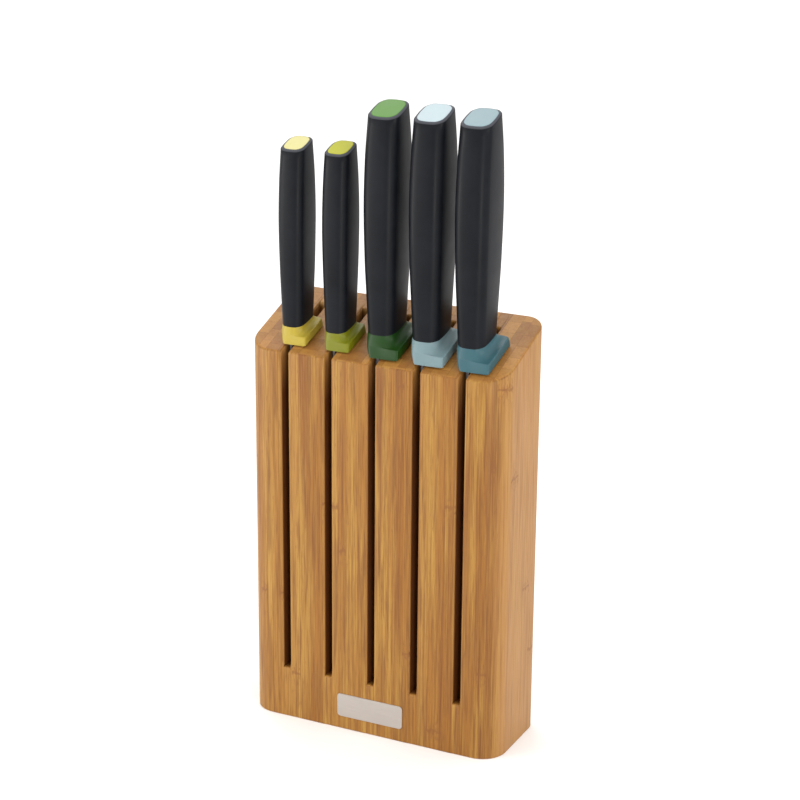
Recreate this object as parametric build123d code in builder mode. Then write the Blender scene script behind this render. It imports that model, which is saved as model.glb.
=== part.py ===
from build123d import *
import math
import os

# An upright bamboo knife block with a sloping top, and five knives standing in
# slots that are open at the front. Millimetres, +Z up, -Y is the front. The
# origin is under the middle of the block, on the surface it stands on.

# ---- block ----
BLOCK_WIDTH = 160.0
BLOCK_DEPTH = 61.6
FRONT_HEIGHT = 226.4
TOP_SLOPE = 0.36            # rise of the top per millimetre towards the back
FRONT_CORNER_RADIUS = 15.0
BACK_CORNER_RADIUS = 12.0
TOP_EDGE_RADIUS = 1.2

SLOT_COUNT = 5
SLOT_WIDTH = 4.6
SLOT_LENGTH = 47.1          # from the front face back to the blind end
SLOT_FLOOR = 31.3

# ---- name plate ----
PLATE_WIDTH = 42.2
PLATE_HEIGHT = 14.3
PLATE_THICKNESS = 0.6
PLATE_LOW = 8.1
PLATE_CORNER_RADIUS = 2.2

# ---- knives ----
SPINE_Y = -22.2             # the front edge of every blade
GRIP_FRONT_Y = -24.9        # the front of every grip at its widest
JOINT_SLOPE = 0.23          # slope of the joint between collar and grip
CAP_SLOPE = 0.34            # slope of the end cap
RIM_INSET = 1.5             # the chamfered rim around the end cap
RIM_RISE = 1.0
CAP_CORNER_SHARE = 0.75     # how much of the inset the corner radius loses
CAP_THICKNESS = 2.5
CAP_PROUD = 0.4
COLLAR_LIFT = 0.3           # gap over the block at the back of a collar
COLLAR_SLOPE = 0.32         # slope of a collar's underside and flange
TANG_RISE = 62.0
COLLAR_STEPS = 8
LEAST_CROWN = 0.05          # keeps the four sides arcs where they are all but straight
CORE_CORNER_RADIUS = 1.5

# ---- derived ----
LAND_WIDTH = (BLOCK_WIDTH - SLOT_COUNT * SLOT_WIDTH) / (SLOT_COUNT + 1)
PITCH = LAND_WIDTH + SLOT_WIDTH
FRONT_Y = -(BLOCK_DEPTH - PLATE_THICKNESS) / 2
BACK_Y = FRONT_Y + BLOCK_DEPTH
SLOT_END_Y = FRONT_Y + SLOT_LENGTH
TALL = FRONT_HEIGHT + BLOCK_DEPTH

# Two sizes of handle. Stations run up the grip: each is a height as a share of
# the grip's length, and the grip's width and depth there. The crown is how far
# each side swells between its corners.
LARGE = {
    "joint_z": 243.5,
    "cap_z": 365.5,
    "depth": 29.2,
    "corner": 4.5,
    "crown": 1.0,
    "stations": [(0.0, 17.3, 24.3), (0.17, 18.7, 26.2), (0.34, 20.0, 28.2),
                 (0.6, 21.0, 29.2), (0.83, 20.5, 26.8), (1.0, 19.4, 22.0)],
    "flange_reach": 14.4,
    "collar_left": -3.8,
    "collar_front": -26.6,
    "collar_back": 3.0,
    "flange_rise": 5.3,
    "core": (8.0, 12.0),
    "tang": 9.0,
}
SMALL = {
    "joint_z": 240.8,
    "cap_z": 342.1,
    "depth": 22.4,
    "corner": 3.6,
    "crown": 0.8,
    "stations": [(0.0, 13.8, 19.6), (0.17, 14.8, 20.7), (0.34, 15.7, 21.8),
                 (0.6, 16.4, 22.4), (0.83, 16.1, 20.6), (1.0, 15.4, 17.4)],
    "flange_reach": 10.8,
    "collar_left": -4.2,
    "collar_front": -25.3,
    "collar_back": -3.0,
    "flange_rise": 4.8,
    "core": (6.4, 9.4),
    "tang": 7.0,
}

# name: handle, blade width, blade thickness, height of the tip, length of the
# curved end of the edge, how far the tip stands back from the spine, and the
# pitch and depth of the scallops (zero for a plain edge). Slots 1 to 5 in turn.
KNIVES = {
    "paring": (SMALL, 19.0, 1.6, 138.0, 46.0, 7.0, 0.0, 0.0),
    "serrated": (SMALL, 22.0, 1.6, 112.0, 26.0, 6.0, 4.2, 0.8),
    "carving": (LARGE, 28.0, 2.0, 34.0, 80.0, 8.0, 0.0, 0.0),
    "bread": (LARGE, 30.0, 2.0, 34.0, 26.0, 12.0, 7.0, 1.2),
    "chef": (LARGE, 36.0, 2.0, 68.0, 110.0, 9.0, 0.0, 0.0),
}
HEEL_DROP = 9.0             # the heel of a blade lies this far under the top


def slot_x(index):
    return (index - (SLOT_COUNT - 1) / 2) * PITCH


def top_z(y):
    return FRONT_HEIGHT + TOP_SLOPE * (y - FRONT_Y)


def tilted(x, y, z, slope):
    """A plane through a point that rises towards the back by the slope."""
    return Plane(origin=(x, y, z), x_dir=(1, 0, 0), z_dir=(0, -slope, 1))


def along(slope):
    """Length on a tilted plane per millimetre of depth."""
    return math.hypot(1, slope)


BLOCK_TOP = tilted(0, FRONT_Y, FRONT_HEIGHT, TOP_SLOPE)


def save(part, node):
    part.label = node
    export_step(part, f"parts/{node}.step")


# ---- the block ----

def stave(index):
    """One full-depth board. The first and the last carry the round corners."""
    low_x = -BLOCK_WIDTH / 2 + index * PITCH
    high_x = low_x + LAND_WIDTH
    first = index == 0
    last = index == SLOT_COUNT
    with BuildPart() as board:
        with BuildSketch():
            with Locations(((low_x + high_x) / 2, (FRONT_Y + BACK_Y) / 2)):
                Rectangle(LAND_WIDTH, BLOCK_DEPTH)
            if first or last:
                side = Axis.X if last else Axis.X.reverse()
                outer = vertices().group_by(side)[-1].sort_by(Axis.Y)
                fillet(outer[0], FRONT_CORNER_RADIUS)
                outer = vertices().group_by(side)[-1].sort_by(Axis.Y)
                fillet(outer[-1], BACK_CORNER_RADIUS)
        extrude(amount=TALL)
        split(bisect_by=BLOCK_TOP, keep=Keep.BOTTOM)
        rim = faces().sort_by(Axis.Z)[-1].edges()
        glued = [] if first else [low_x]
        glued += [] if last else [high_x]
        rim = [e for e in rim if not any(abs(e.center().X - x) < 0.01 for x in glued)]
        fillet(rim, TOP_EDGE_RADIUS)
    return board.part


def slot_base(index):
    """The spacer under a slot, between two staves."""
    with BuildPart() as base:
        with BuildSketch():
            with Locations((slot_x(index), (FRONT_Y + BACK_Y) / 2)):
                Rectangle(SLOT_WIDTH, BLOCK_DEPTH)
        extrude(amount=SLOT_FLOOR)
    return base.part


def slot_back(index):
    """The spacer behind a slot, between two staves."""
    with BuildPart() as back:
        with BuildSketch(Plane.XY.offset(SLOT_FLOOR)):
            with Locations((slot_x(index), (SLOT_END_Y + BACK_Y) / 2)):
                Rectangle(SLOT_WIDTH, BACK_Y - SLOT_END_Y)
        extrude(amount=TALL)
        split(bisect_by=BLOCK_TOP, keep=Keep.BOTTOM)
        fillet(faces().sort_by(Axis.Z)[-1].edges().sort_by(Axis.Y)[-1], TOP_EDGE_RADIUS)
    return back.part


def name_plate():
    """The blank metal plate low on the front."""
    face = Plane(origin=(0, FRONT_Y, PLATE_LOW + PLATE_HEIGHT / 2), x_dir=(1, 0, 0), z_dir=(0, -1, 0))
    with BuildPart() as plate:
        with BuildSketch(face):
            RectangleRounded(PLATE_WIDTH, PLATE_HEIGHT, PLATE_CORNER_RADIUS)
        extrude(amount=PLATE_THICKNESS)
        chamfer(faces().sort_by(Axis.Y)[0].edges(), PLATE_THICKNESS / 3)
    return plate.part


# ---- the knives ----

def grip_y(size):
    """The middle of a handle, front to back."""
    return GRIP_FRONT_Y + size["depth"] / 2


def under_z(size, y):
    """Height of a collar's underside."""
    back = size["collar_back"]
    return top_z(back) + COLLAR_LIFT + COLLAR_SLOPE * (y - back)


def joint_plane(x, size):
    return tilted(x, grip_y(size), size["joint_z"], JOINT_SLOPE)


def cap_plane(x, size, lift=0.0):
    return tilted(x, grip_y(size), size["cap_z"] + lift, CAP_SLOPE)


def cap_size(size):
    """Width and depth of the end cap, inside the chamfered rim."""
    _, width, depth = size["stations"][-1]
    return width - 2 * RIM_INSET, depth - 2 * RIM_INSET


def bowed_outline(width, depth, crown):
    """Four shallow arcs around a rectangle; the sides reach its width and depth."""
    x, y = width / 2, depth / 2
    corners = [(x - crown, y - crown), (crown - x, y - crown),
               (crown - x, crown - y), (x - crown, crown - y)]
    middles = [(0, y), (-x, 0), (0, -y), (x, 0)]
    for here, middle, there in zip(corners, middles, corners[1:] + corners[:1]):
        ThreePointArc(here, middle, there)


def blade_outline(size, width, tip_z, curve, tip_back, pitch, depth):
    """The blade below the collar, in the Y-Z plane, from spine to edge."""
    edge_y = SPINE_Y + width
    heel_y = min(edge_y, size["collar_back"])
    heel_z = top_z(heel_y) - HEEL_DROP
    bend_z = tip_z + curve
    tip = (SPINE_Y + tip_back, tip_z)
    spine_low = (SPINE_Y, tip_z + 2.2 * tip_back)
    shoulder = (heel_y - 1.0, under_z(size, heel_y - 1.0))
    Polyline((SPINE_Y, under_z(size, SPINE_Y)), spine_low, tip)
    TangentArc((edge_y, bend_z), tip, tangent=(0, -1))
    count = int((heel_z - bend_z) / pitch) if pitch else 0
    step = (heel_z - bend_z) / count if count else 0.0
    for tooth in range(count):
        low = (edge_y, bend_z + tooth * step)
        high = (edge_y, bend_z + (tooth + 1) * step)
        ThreePointArc(low, (edge_y - depth, (low[1] + high[1]) / 2), high)
    if not count:
        Line((edge_y, bend_z), (edge_y, heel_z))
    Polyline((edge_y, heel_z), (shoulder[0], heel_z + 2.0), shoulder,
             (SPINE_Y, under_z(size, SPINE_Y)))


def blade(x, size, width, thickness, tip_z, curve, tip_back, pitch, depth):
    """Flat blade with its tang, which runs up through the collar."""
    half_tang = size["tang"] / 2
    mid = grip_y(size)
    low, top = under_z(size, mid - half_tang) - 1.0, size["joint_z"] + TANG_RISE
    with BuildPart() as steel:
        with BuildSketch(Plane.YZ.offset(x)):
            with BuildLine():
                blade_outline(size, width, tip_z, curve, tip_back, pitch, depth)
            make_face()
            with BuildLine():
                Polyline((mid - half_tang, low), (mid - half_tang, top),
                         (mid + half_tang, top), (mid + half_tang, low), close=True)
            make_face()
        extrude(amount=thickness / 2, both=True)
    return steel.part


def collar_sections(size):
    """Height share, slope, left, right, front and back of the collar from the
    block up to the grip. Above the flange the right side sweeps in to the grip."""
    _, top_width, top_depth = size["stations"][0]
    mid = grip_y(size)
    share = size["flange_rise"] / (size["joint_z"] - under_z(size, mid))
    found = []
    for step in range(-1, COLLAR_STEPS + 1):
        sweep = max(step, 0) / COLLAR_STEPS
        t = share + (1 - share) * sweep if step >= 0 else 0.0
        slope = COLLAR_SLOPE + (JOINT_SLOPE - COLLAR_SLOPE) * sweep
        ease = math.sin(t * math.pi / 2)
        left = size["collar_left"] + (-top_width / 2 - size["collar_left"]) * ease
        front = size["collar_front"] + (mid - top_depth / 2 - size["collar_front"]) * t
        back = size["collar_back"] + (mid + top_depth / 2 - size["collar_back"]) * t
        fall = math.sqrt(1 - (1 - sweep) ** 2)
        right = size["flange_reach"] + (top_width / 2 - size["flange_reach"]) * fall
        found.append((t, slope, left, right, front, back))
    return found


def collar(x, size, thickness):
    """Coloured collar: a flange to the right lies over the block."""
    mid = grip_y(size)
    low_z = under_z(size, mid)
    with BuildPart() as ring:
        for t, slope, left, right, front, back in collar_sections(size):
            z = low_z + (size["joint_z"] - low_z) * t
            radius = 2.0 + (size["corner"] - 2.0) * t
            crown = max(size["crown"] * t, LEAST_CROWN)
            centre = (x + (left + right) / 2, (front + back) / 2)
            with BuildSketch(tilted(*centre, z + slope * (centre[1] - mid), slope)):
                with BuildLine():
                    bowed_outline(right - left, (back - front) * along(slope), crown)
                make_face()
                fillet(vertices(), radius)
        loft(ruled=True)
        with BuildSketch(Plane.XY.offset(low_z - size["depth"])):
            with Locations((x, mid)):
                Rectangle(thickness, size["tang"])
        extrude(amount=TANG_RISE + size["depth"], mode=Mode.SUBTRACT)
    return ring.part


def core(x, size, thickness):
    """Hard inner bar of the handle, with the pocket for the tang."""
    mid = grip_y(size)
    floor_z = size["joint_z"] - size["depth"]
    with BuildPart() as bar:
        with BuildSketch(Plane.XY.offset(floor_z)):
            with Locations((x, mid)):
                RectangleRounded(*size["core"], CORE_CORNER_RADIUS)
        extrude(amount=TALL)
        split(bisect_by=joint_plane(x, size), keep=Keep.TOP)
        split(bisect_by=cap_plane(x, size, -CAP_THICKNESS), keep=Keep.BOTTOM)
        with BuildSketch(Plane.XY.offset(floor_z)):
            with Locations((x, mid)):
                Rectangle(thickness, size["tang"])
        extrude(amount=TANG_RISE + size["depth"], mode=Mode.SUBTRACT)
    return bar.part


def grip(x, size):
    """Soft shell of the handle, hollow for the core and the end cap."""
    mid = grip_y(size)
    rim_z = size["cap_z"] - RIM_RISE
    length = rim_z - size["joint_z"]
    top_width, top_depth = size["stations"][-1][1:]
    with BuildPart() as shell:
        for share, width, depth in size["stations"]:
            slope = JOINT_SLOPE + (CAP_SLOPE - JOINT_SLOPE) * share
            with BuildSketch(tilted(x, mid, size["joint_z"] + share * length, slope)):
                with BuildLine():
                    bowed_outline(width, depth * along(slope), size["crown"])
                make_face()
                fillet(vertices(), size["corner"])
        loft()
        for inset, rise in ((0.0, 0.0), (RIM_INSET, RIM_RISE)):
            with BuildSketch(tilted(x, mid, rim_z + rise, CAP_SLOPE)):
                with BuildLine():
                    bowed_outline(top_width - 2 * inset, (top_depth - 2 * inset) * along(CAP_SLOPE),
                                  size["crown"])
                make_face()
                fillet(vertices(), size["corner"] - inset * CAP_CORNER_SHARE)
        loft(ruled=True)
        with BuildSketch(Plane.XY.offset(size["joint_z"] - size["depth"])):
            with Locations((x, mid)):
                RectangleRounded(*size["core"], CORE_CORNER_RADIUS)
        extrude(amount=TALL, mode=Mode.SUBTRACT)
        width, depth = cap_size(size)
        with BuildSketch(cap_plane(x, size, -CAP_THICKNESS)):
            with BuildLine():
                bowed_outline(width, depth * along(CAP_SLOPE), size["crown"])
            make_face()
            fillet(vertices(), size["corner"] - RIM_INSET * CAP_CORNER_SHARE)
        extrude(amount=size["depth"], mode=Mode.SUBTRACT)
    return shell.part


def end_cap(x, size):
    """Coloured insert in the end of the grip, a little proud of its rim."""
    width, depth = cap_size(size)
    with BuildPart() as cap:
        with BuildSketch(cap_plane(x, size, -CAP_THICKNESS)):
            with BuildLine():
                bowed_outline(width, depth * along(CAP_SLOPE), size["crown"])
            make_face()
            fillet(vertices(), size["corner"] - RIM_INSET * CAP_CORNER_SHARE)
        extrude(amount=(CAP_THICKNESS + CAP_PROUD) / along(CAP_SLOPE))
        fillet(faces().sort_by(Axis.Z)[-1].edges(), CAP_PROUD)
    return cap.part


def main():
    os.makedirs("parts", exist_ok=True)
    for index in range(SLOT_COUNT + 1):
        save(stave(index), f"stave_{index + 1}")
    for index in range(SLOT_COUNT):
        save(slot_base(index), f"slot_base_{index + 1}")
        save(slot_back(index), f"slot_back_{index + 1}")
    save(name_plate(), "name_plate")
    for index, (name, spec) in enumerate(KNIVES.items()):
        size, width, thickness, tip_z, curve, tip_back, pitch, depth = spec
        x = slot_x(index)
        save(blade(x, size, width, thickness, tip_z, curve, tip_back, pitch, depth), f"{name}_blade")
        save(collar(x, size, thickness), f"{name}_collar")
        save(core(x, size, thickness), f"{name}_core")
        save(grip(x, size), f"{name}_grip")
        save(end_cap(x, size), f"{name}_cap")


main()
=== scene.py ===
import math

import bmesh
import bpy
from mathutils import Matrix, Vector


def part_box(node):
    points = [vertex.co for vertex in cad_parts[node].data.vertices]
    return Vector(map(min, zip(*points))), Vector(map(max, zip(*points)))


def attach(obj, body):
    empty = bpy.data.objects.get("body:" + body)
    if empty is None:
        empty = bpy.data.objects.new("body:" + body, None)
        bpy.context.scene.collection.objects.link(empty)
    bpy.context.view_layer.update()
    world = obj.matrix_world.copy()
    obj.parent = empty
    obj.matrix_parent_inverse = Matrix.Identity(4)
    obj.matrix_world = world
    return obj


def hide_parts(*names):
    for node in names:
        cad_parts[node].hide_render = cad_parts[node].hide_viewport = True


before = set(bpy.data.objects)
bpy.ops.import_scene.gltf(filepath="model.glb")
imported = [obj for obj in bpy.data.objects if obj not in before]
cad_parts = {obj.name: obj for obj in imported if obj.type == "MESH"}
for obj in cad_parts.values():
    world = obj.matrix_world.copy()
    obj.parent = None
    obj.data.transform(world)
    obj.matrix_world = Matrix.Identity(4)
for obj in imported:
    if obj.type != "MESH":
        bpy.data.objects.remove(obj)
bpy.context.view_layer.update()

# Looks for an upright bamboo knife block with five knives. Metres, +Z up, the
# front faces -Y. Every shape is made inside the box of the CAD node it stands for.

MM = 0.001

# ---- block ----
TOP_SLOPE = 0.36              # rise of the top towards the back
FRONT_CORNER_RADIUS = 15.0 * MM         # upright corners of the block
BACK_CORNER_RADIUS = 12.0 * MM
MOUTH_RADIUS = 1.5 * MM       # rounding of the vertical edges beside a slot
TOP_RADIUS = 1.3 * MM         # rounding of the edges around the top
JOINT_GROOVE = 0.12 * MM      # hairline groove where two boards are glued
FOOT_EDGE = 0.35 * MM         # softened lower edge
MOUTH_RUN_OUT = 5.0 * MM      # height over which the mouth rounding fades in
SLOT_SHADE_START = 0.5 * MM   # the painted shade on the slot walls starts here, behind the front and is full from here
SLOT_SHADE_FULL = 2.2 * MM    # and are fully dark from here
GLUE_BLEND = 0.4 * MM         # over which an edge fades where a glued face begins
QUARTER_STEPS = 6             # steps round a quarter turn of a rounded edge

# ---- knives ----
JOINT_SLOPE = 0.23            # slope of the joint between collar and grip
CAP_SLOPE = 0.34              # slope of the end cap
RIM_INSET = 1.5 * MM          # the chamfered rim around the end cap
RIM_RISE = 1.0 * MM
CAP_CORNER_SHARE = 0.75       # how much of the inset the corner radius loses
CAP_THICKNESS = 2.5 * MM
CAP_GAP = 0.08 * MM           # shadow line around the cap
CAP_PROUD = 0.4 * MM
CAP_EDGE = 0.3 * MM           # rounding around the cap
CAP_EDGE_LOW = 0.15 * MM      # the rounding starts this far below the seat's rim
CAP_EDGE_HIGH = 0.08 * MM     # and ends this far above it
COLLAR_LIFT = 0.3 * MM        # gap over the block at the back of a collar
COLLAR_SLOPE = 0.32           # slope of a collar's underside and flange
TANG_RISE = 62.0 * MM         # how far the tang runs up above the collar
RIDGE_RADIUS = 0.55 * MM      # rounding of the flange's upper edge

# Handles, in millimetres. Stations run up the grip: a height as a share of the
# grip's length, and the grip's width and depth there. The crown is how far each
# side swells between its corners. The flange reaches to the right, to "reach".
LARGE = {
    "joint_z": 243.5, "cap_z": 365.5, "mid_y": -10.3, "corner": 4.5, "crown": 1.0,
    "stations": [(0.0, 17.3, 24.3), (0.17, 18.7, 26.2), (0.34, 20.0, 28.2),
                 (0.6, 21.0, 29.2), (0.83, 20.5, 26.8), (1.0, 19.4, 22.0)],
    "reach": 14.4, "left": -3.8, "front": -26.6,
    "back": 3.0, "flange": 5.3, "core": (8.0, 12.0), "tang": 9.0,
}
SMALL = {
    "joint_z": 240.8, "cap_z": 342.1, "mid_y": -13.7, "corner": 3.6, "crown": 0.8,
    "stations": [(0.0, 13.8, 19.6), (0.17, 14.8, 20.7), (0.34, 15.7, 21.8),
                 (0.6, 16.4, 22.4), (0.83, 16.1, 20.6), (1.0, 15.4, 17.4)],
    "reach": 10.8, "left": -4.2, "front": -25.3,
    "back": -3.0, "flange": 4.8, "core": (6.4, 9.4), "tang": 7.0,
}

# name: handle, material slot of its collar and cap, curved end of the edge, how
# far the tip stands back from the spine, width of the ground bevel, pitch and
# depth of the scallops. Millimetres.
KNIVES = {
    "paring": (SMALL, "collar_yellow", 46.0, 7.0, 5.0, 0.0, 0.0),
    "serrated": (SMALL, "collar_lime", 26.0, 6.0, 5.0, 4.2, 0.8),
    "carving": (LARGE, "collar_green", 80.0, 8.0, 7.0, 0.0, 0.0),
    "bread": (LARGE, "collar_pale_blue", 26.0, 12.0, 7.0, 7.0, 1.2),
    "chef": (LARGE, "collar_teal", 110.0, 9.0, 9.0, 0.0, 0.0),
}
HEEL_DROP = 9.0 * MM          # the cutting edge ends this far under the block's top

# ---- camera ----
CAMERA_AZIMUTH = math.radians(26.032)
CAMERA_ELEVATION = math.radians(18.044)
CAMERA_ROLL = math.radians(0.453)
CAMERA_DISTANCE = 1.218877
CAMERA_TARGET = Vector((0.00307, 0.0003, 0.1972))
CAMERA_LENS = 96.61

FRONT_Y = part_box("stave_1")[0].y
BACK_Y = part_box("stave_1")[1].y
SLOT_END_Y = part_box("slot_back_1")[0].y
SLOT_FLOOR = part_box("slot_base_1")[1].z
FRONT_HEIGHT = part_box("stave_3")[1].z - TOP_SLOPE * (BACK_Y - FRONT_Y)


def smooth(low, high, value):
    """0 below low, 1 above high, eased between."""
    t = min(max((value - low) / (high - low), 0.0), 1.0)
    return t * t * (3 - 2 * t)


def mix(a, b, t):
    return a + (b - a) * t


def top_z(y):
    """Height of the block's sloping top."""
    return FRONT_HEIGHT + TOP_SLOPE * (y - FRONT_Y)


def quarter(steps=QUARTER_STEPS):
    """Angles from nothing to a right angle, in even steps."""
    return [math.pi / 2 * step / steps for step in range(steps + 1)]


# ---- node helpers ----

def add(tree, kind, props=None, **inputs):
    """A node with properties and inputs set; an input that is a socket is linked.
    Inputs are given by name with _ for a space, or by number as i0, i1, ..."""
    node = tree.nodes.new(kind)
    for key, value in (props or {}).items():
        setattr(node, key, value)
    for key, value in inputs.items():
        numbered = key[0] == "i" and key[1:].isdigit()
        socket = node.inputs[int(key[1:])] if numbered else node.inputs[key.replace("_", " ")]
        if isinstance(value, bpy.types.NodeSocket):
            tree.links.new(value, socket)
        else:
            socket.default_value = value
    return node


def calc(tree, operation, *values):
    """A Math node's result."""
    inputs = {f"i{n}": value for n, value in enumerate(values)}
    return add(tree, "ShaderNodeMath", {"operation": operation}, **inputs).outputs[0]


def remap(tree, value, low, high, to_low=0.0, to_high=1.0):
    node = add(tree, "ShaderNodeMapRange", {"interpolation_type": "SMOOTHSTEP"},
               i0=value, i1=low, i2=high, i3=to_low, i4=to_high)
    return node.outputs[0]


def blend(tree, kind, factor, a, b):
    """A colour Mix node's result."""
    node = add(tree, "ShaderNodeMix", {"data_type": "RGBA", "blend_type": kind},
               i0=factor, i6=a, i7=b)
    return node.outputs[2]


def tint(tree, factor, tone, colour, kind="MIX"):
    """Lays one fixed colour over a tone."""
    return blend(tree, kind, factor, tone, (*colour, 1))


def noise(tree, coords, scale, detail=2.0, rough=0.5, distortion=0.0):
    node = add(tree, "ShaderNodeTexNoise", Vector=coords, Scale=scale, Detail=detail,
               Roughness=rough, Distortion=distortion)
    return node.outputs[0]


def stretched(tree, coords, x, y, z):
    """Coordinates multiplied by a different number along each axis."""
    return add(tree, "ShaderNodeVectorMath", {"operation": "MULTIPLY"},
               i0=coords, i1=(x, y, z)).outputs[0]


def ramp(tree, value, stops):
    """A colour ramp from (place, colour) stops."""
    node = add(tree, "ShaderNodeValToRGB", Fac=value)
    elements = node.color_ramp.elements
    for index, (place, colour) in enumerate(stops):
        stop = elements[index] if index < 2 else elements.new(place)
        stop.position = place
        stop.color = (*colour, 1.0)
    return node.outputs[0]


def material(name):
    """A new material's tree, its shader node and its object coordinates."""
    made = bpy.data.materials.new(name)
    made.use_nodes = True
    tree = made.node_tree
    shader = tree.nodes["Principled BSDF"]
    coords = add(tree, "ShaderNodeTexCoord").outputs["Object"]
    return made, tree, shader, coords


def bump(tree, shader, height, strength, distance):
    node = add(tree, "ShaderNodeBump", Height=height, Strength=strength, Distance=distance)
    tree.links.new(node.outputs[0], shader.inputs["Normal"])


# ---- materials ----

LAMELLA_WIDTH = 7.4           # millimetres, across the front
LAMELLA_DEPTH = 10.0          # millimetres, front to back

TAN_DARK = (0.228, 0.086, 0.009)
TAN_MID = (0.292, 0.127, 0.017)
TAN_LIGHT = (0.360, 0.183, 0.034)
# Pinker tan of the narrow sides, also made paler as painted light.
TAN_PINK_AND_LIT = (0.438, 0.228, 0.076)
END_DARK = (0.265, 0.110, 0.022)
END_LIGHT = (0.423, 0.201, 0.043)
RED_STREAK = (0.178, 0.058, 0.007)
BROWN_STREAK = (0.205, 0.085, 0.013)
GOLD_PATCH = (0.379, 0.209, 0.038)
KNOT_BROWN = (0.180, 0.062, 0.012)
# Painted shade inside the slots.
SLOT_SHADE_BROWN = (0.118, 0.034, 0.006)
STREAK_SHADE = (0.64, 0.52, 0.36)
FIBRE_SHADE = (0.64, 0.50, 0.36)

# The long grain, from broad patches to short dashes: stretch across and along the
# grain; the noise's detail, roughness and distortion; the noise values between
# which the layer fades in and its greatest share; its colour and how it blends.
GRAIN = {
    "patch": ((190, 7), (3.0, 0.6, 0.0), (0.42, 0.66, 0.75), GOLD_PATCH, "MIX"),
    "brown": ((420, 16), (3.0, 0.6, 0.4), (0.50, 0.64, 0.75), BROWN_STREAK, "MIX"),
    "red": ((120, 4.5), (4.0, 0.55, 0.6), (0.57, 0.73, 0.78), RED_STREAK, "MIX"),
    "streak": ((1100, 24), (3.0, 0.6, 0.0), (0.44, 0.66, 0.70), STREAK_SHADE, "MULTIPLY"),
    "fibre": ((3200, 75), (3.0, 0.65, 0.0), (0.46, 0.70, 0.60), FIBRE_SHADE, "MULTIPLY"),
    "dash": ((2300, 150), (2.0, 0.5, 0.0), (0.64, 0.71, 0.65), KNOT_BROWN, "MIX"),
}

NODE_SPREAD = 330.0           # millimetres of height over which the nodes are scattered
NODE_WOBBLE = 5.0             # millimetres that a node's ring line wanders
NODE_SHARE = 0.6              # how strongly a node's ring and specks show
SIDE_PINK_AND_LIGHT_SHARE = 0.6         # how far the narrow sides turn to the pinker tan: their own tone, made paler as painted light
GLUE_LINE = (0.05, 0.25)      # millimetres between which a glue line fades out
GLUE_SHARE = 0.5
END_GRAIN_SHARE = 0.3         # how much of the long grain is left on the end grain
SIDE_GRAIN_SHARE = 0.45       # and on the narrow sides
SLOT_GRAIN_SHIFT = 0.31       # metres by which the spacers' grain is moved on


def lamella_cells(tree, coords):
    """The bamboo strips a point falls in: three random numbers for each strip, the
    distance in millimetres to its nearest glue line, and the height."""
    axes = add(tree, "ShaderNodeSeparateXYZ", i0=stretched(tree, coords, 1000, 1000, 1000))
    x, y, z = axes.outputs
    uneven = calc(tree, "MULTIPLY", calc(tree, "SINE", calc(tree, "MULTIPLY", x, 0.37)), 1.5)
    column_share = calc(tree, "DIVIDE", calc(tree, "ADD", x, uneven), LAMELLA_WIDTH)
    column = calc(tree, "FLOOR", column_share)
    shift = add(tree, "ShaderNodeTexWhiteNoise", {"noise_dimensions": "1D"}, W=column).outputs[0]
    row_share = calc(tree, "ADD", calc(tree, "DIVIDE", y, LAMELLA_DEPTH), shift)
    row = calc(tree, "FLOOR", row_share)
    cell = add(tree, "ShaderNodeCombineXYZ", X=column, Y=row)
    random = add(tree, "ShaderNodeTexWhiteNoise", {"noise_dimensions": "2D"},
                 Vector=cell.outputs[0])
    numbers = add(tree, "ShaderNodeSeparateColor", i0=random.outputs[1]).outputs
    line_x = edge_distance(tree, column_share, LAMELLA_WIDTH)
    line_y = edge_distance(tree, row_share, LAMELLA_DEPTH)
    return numbers, calc(tree, "MINIMUM", line_x, line_y), z


def edge_distance(tree, share, size):
    """Millimetres from a point to the nearest whole number of cells."""
    inside = calc(tree, "FRACT", share)
    other = calc(tree, "SUBTRACT", 1.0, inside)
    return calc(tree, "MULTIPLY", calc(tree, "MINIMUM", inside, other), size)


def bamboo_nodes(tree, coords, numbers, z):
    """How strongly a bamboo node shows: a thin dark ring line and the speckled
    zone around it, at a random height on each strip."""
    home = calc(tree, "MULTIPLY", numbers[1], NODE_SPREAD)
    wobble = calc(tree, "MULTIPLY", noise(tree, coords, 260.0), NODE_WOBBLE)
    away = calc(tree, "SUBTRACT", calc(tree, "ADD", z, wobble), home)
    distance = calc(tree, "ABSOLUTE", away)
    ring = remap(tree, distance, 0.3, 1.3, 1.0, 0.0)
    zone = remap(tree, distance, 1.0, 12.0, 1.0, 0.0)
    speck = remap(tree, noise(tree, stretched(tree, coords, 1, 1, 0.35), 900.0, 3.0), 0.48, 0.66)
    return ring, calc(tree, "MULTIPLY", zone, speck)


def faces_along(tree, axis, low, high):
    """1 where the surface faces along an axis, either way."""
    normal = add(tree, "ShaderNodeTexCoord").outputs["Normal"]
    part = add(tree, "ShaderNodeSeparateXYZ", i0=normal).outputs[axis]
    return remap(tree, calc(tree, "ABSOLUTE", part), low, high)


def attribute(tree, name):
    return add(tree, "ShaderNodeAttribute", {"attribute_name": name}).outputs["Fac"]


def fibre_tone(tree, coords, tone, strength):
    """Lays the long grain over a tone. Returns it with the noise of each layer."""
    masks = {}
    for name, ((across, along), texture, (low, high, most), colour, kind) in GRAIN.items():
        lines = stretched(tree, coords, across, across, along)
        masks[name] = noise(tree, lines, 1.0, *texture)
        share = calc(tree, "MULTIPLY", remap(tree, masks[name], low, high, 0.0, most), strength)
        tone = tint(tree, share, tone, colour, kind)
    return tone, masks


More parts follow.
